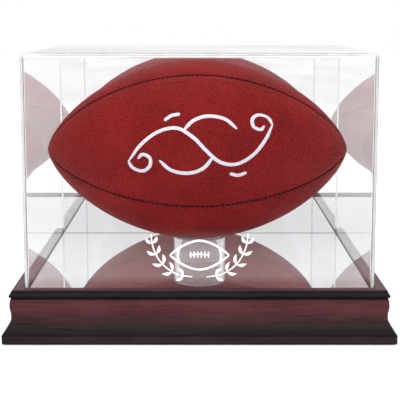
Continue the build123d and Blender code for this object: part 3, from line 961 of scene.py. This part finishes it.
def stage_floor():
    """A white floor. In reflections it is painted: dark where the cover's faces reflect it, but for a
    painted bright patch in front, and grey in reflections seen through the cover.
    """
    mesh = bpy.data.meshes.new("floor")
    corners = [(x * FLOOR_REACH, y * FLOOR_REACH, 0) for x, y in ((-1, -1), (1, -1), (1, 1), (-1, 1))]
    mesh.from_pydata(corners, [], [(0, 1, 2, 3)])
    s = Shader("floor_white")
    soft = s.noise(3.0, None, 2.0)
    s.surface.inputs["Roughness"].default_value = 0.9
    s.surface.inputs["Specular IOR Level"].default_value = 0.0
    path = s.add("LightPath")
    bounced = s.maths("GREATER_THAN", path.outputs["Glossy Depth"], 0.5)
    bounced = s.maths("MAXIMUM", bounced, s.maths("GREATER_THAN", path.outputs["Transmission Depth"], 2.5))
    first_face = s.maths("LESS_THAN", path.outputs["Transmission Depth"], 0.5)
    second_face = s.maths("LESS_THAN", path.outputs["Transmission Depth"], 2.5)
    second_face = s.maths("MULTIPLY", second_face, path.outputs["Is Transmission Ray"])
    outside = s.maths("MAXIMUM", first_face, second_face)
    spot = s.add("SeparateXYZ", Vector=s.add("TexCoord").outputs["Object"])
    ahead = s.span(spot.outputs["Y"], -0.58, -0.42)
    beside = s.span(s.maths("ABSOLUTE", spot.outputs["X"]), 0.3, 0.17)
    behind = s.span(spot.outputs["Y"], -0.3, -0.335)
    lit = s.maths("MULTIPLY", s.maths("MULTIPLY", ahead, behind), beside)
    # Painted reflection: dark, but bright in the patch in front.
    painted_reflection_tone = s.span(lit, 0, 1, FLOOR_GLOSS, 0.9)
    # Painted reflection seen through the cover: grey.
    inside = s.ramp(s.noise(4.0, s.place((1, 0.35, 1)), 2.0), [(0.35, 0.68), (0.65, 0.78)])
    painted_floor_reflection = s.mix(outside, inside, painted_reflection_tone)
    colour = s.mix(bounced, s.ramp(soft, [(0.3, 0.93), (0.7, 0.95)]), painted_floor_reflection)
    mesh.materials.append(s.finish(Base_Color=colour))
    floor = bpy.data.objects.new("floor", mesh)
    scene.collection.objects.link(floor)


def area_light(name, place, target, size, power, colour=(1, 1, 1)):
    light = bpy.data.lights.new(name, "AREA")
    light.shape = "RECTANGLE"
    light.size, light.size_y = size
    light.energy = power
    light.color = colour
    lamp = bpy.data.objects.new(name, light)
    lamp.location = place
    lamp.rotation_euler = (Vector(target) - Vector(place)).to_track_quat("-Z", "Y").to_euler()
    scene.collection.objects.link(lamp)
    return lamp


def studio_world():
    """White where it is seen, or seen through the case. As a light it is dim low down, but not behind."""
    world = bpy.data.worlds.new("studio")
    scene.world = world
    world.use_nodes = True
    nodes, links = world.node_tree.nodes, world.node_tree.links
    background = nodes["Background"]
    background.inputs["Color"].default_value = (1, 1, 1, 1)
    path = nodes.new("ShaderNodeLightPath").outputs

    def maths(operation, first, second):
        node = nodes.new("ShaderNodeMath")
        node.operation = operation
        for socket, value in zip(node.inputs, (first, second)):
            if isinstance(value, float):
                socket.default_value = value
            else:
                links.new(value, socket)
        return node.outputs[0]

    depth = path["Transmission Depth"]
    bounced = maths("GREATER_THAN", path["Glossy Depth"], 0.5)
    bounced = maths("MULTIPLY", bounced, path["Is Transmission Ray"])
    through = maths("MULTIPLY", maths("GREATER_THAN", depth, 0.5), path["Is Glossy Ray"])
    through = maths("MULTIPLY", through, maths("SUBTRACT", 1.0, bounced))
    through = maths("MAXIMUM", through, maths("GREATER_THAN", depth, 2.5))
    seen = maths("MAXIMUM", path["Is Camera Ray"], through)
    direction = nodes.new("ShaderNodeTexCoord")
    parts = nodes.new("ShaderNodeSeparateXYZ")
    links.new(direction.outputs["Generated"], parts.inputs[0])
    rises = []
    for axis, low, high in (("Y", 0.1, 0.6), ("Z", 0.12, 0.6)):
        rise = nodes.new("ShaderNodeMapRange")
        rise.interpolation_type = "SMOOTHSTEP"
        limits = {"From Min": low, "From Max": high, "To Min": LOW_DARK, "To Max": ROUND_BRIGHT}
        for key, value in limits.items():
            rise.inputs[key].default_value = value
        links.new(parts.outputs[axis], rise.inputs["Value"])
        rises.append(rise.outputs[0])
    level = nodes.new("ShaderNodeMix")
    links.new(seen, level.inputs[0])
    links.new(maths("MAXIMUM", *rises), level.inputs[2])
    level.inputs[3].default_value = 1.0
    links.new(level.outputs[0], background.inputs["Strength"])


def sun_light(name, direction, softness, strength):
    light = bpy.data.lights.new(name, "SUN")
    light.angle = math.radians(softness)
    light.energy = strength
    lamp = bpy.data.objects.new(name, light)
    lamp.rotation_euler = Vector(direction).to_track_quat("-Z", "Y").to_euler()
    scene.collection.objects.link(lamp)
    return lamp


def ball_bounces(lamps):
    """Light off a wall behind and off the mirror below, that only the ball takes."""
    ball = bpy.data.collections.new("ball_only")
    for made in scene.objects:
        if made.type == "MESH" and made.name.startswith(("leather_", "seam_")):
            ball.objects.link(made)
    for name, place, size, power in lamps:
        lamp = area_light(name, place, BALL_LIGHT_TARGET, size, power)
        lamp.light_linking.receiver_collection = ball
        lamp.light_linking.blocker_collection = ball
        lamp.visible_camera = lamp.visible_glossy = lamp.visible_transmission = False


def camera():
    data = bpy.data.cameras.new("camera")
    data.sensor_width = 36.0
    data.lens = CAMERA_LENS
    data.shift_x, data.shift_y = CAMERA_SHIFT
    data.clip_start, data.clip_end = 0.05, 50
    made = bpy.data.objects.new("camera", data)
    made.location = CAMERA_PLACE
    made.rotation_euler = (math.radians(90 - CAMERA_PITCH), 0, 0)
    scene.collection.objects.link(made)
    scene.camera = made


stage_floor()
studio_world()
overhead = sun_light("overhead", (0.12, 0.10, -1.0), 50, 1.9)
overhead.visible_glossy = False
fill = area_light("front_fill", (-0.3, -1.6, 0.9), (0, 0, 0.15), (1.4, 1.0), 12)
fill.visible_glossy = False
fill.visible_transmission = False
fill.visible_camera = False
ball_bounces(
    [
        ("back_bounce", (0, 0.7, 0.08), (0.9, 1.0), 7.0),
        ("low_bounce", (0, -0.15, -0.6), (0.8, 0.5), 2.5),
    ]
)
camera()
scene.view_settings.view_transform = "Standard"
scene.cycles.max_bounces = 24
scene.cycles.glossy_bounces = 12
scene.cycles.transmission_bounces = 16
scene.cycles.transparent_max_bounces = 16
